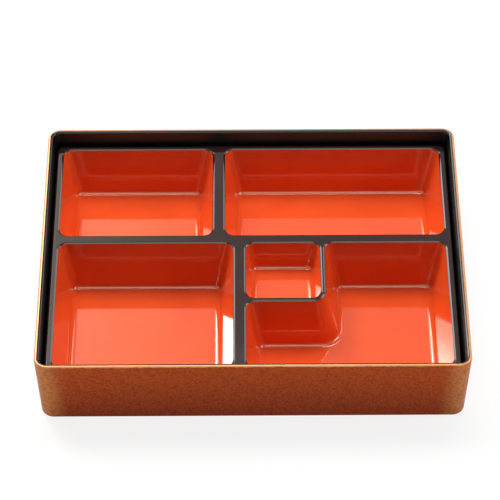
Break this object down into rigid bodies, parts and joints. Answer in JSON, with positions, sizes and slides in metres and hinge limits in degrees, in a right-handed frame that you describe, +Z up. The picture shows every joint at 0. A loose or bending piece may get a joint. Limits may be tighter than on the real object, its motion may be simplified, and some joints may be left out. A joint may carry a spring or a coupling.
{
  "type": "bento box",
  "caption": "Shallow rectangular bento box with a speckled bronze outside and black inside, holding a lift-out tray with black frame and red food wells, one of them L-shaped.",
  "frame": {"origin": "on the surface it stands on, under the middle of the box", "axes": "+X along the long side to the right, +Y to the back, +Z up; the front is the side with the L-shaped well's arm"},
  "size_m": [0.27, 0.21, 0.05],
  "materials": {
    "bronze_lacquer": "satin",
    "black_lacquer": "gloss",
    "vermilion_lacquer": "gloss"
  },
  "bodies": {
    "box": {"box_shell": "bronze_lacquer", "box_lining": "black_lacquer"},
    "tray": {"tray_frame": "black_lacquer", "well_rear_left": "vermilion_lacquer", "well_rear_right": "vermilion_lacquer", "well_front_left": "vermilion_lacquer", "well_small": "vermilion_lacquer", "well_corner": "vermilion_lacquer"}
  },
  "joints": [
    {"name": "tray_lift", "type": "slide", "parent": "box", "child": "tray", "axis": [0, 0, 1], "range_m": [0, 0.06]}
  ]
}
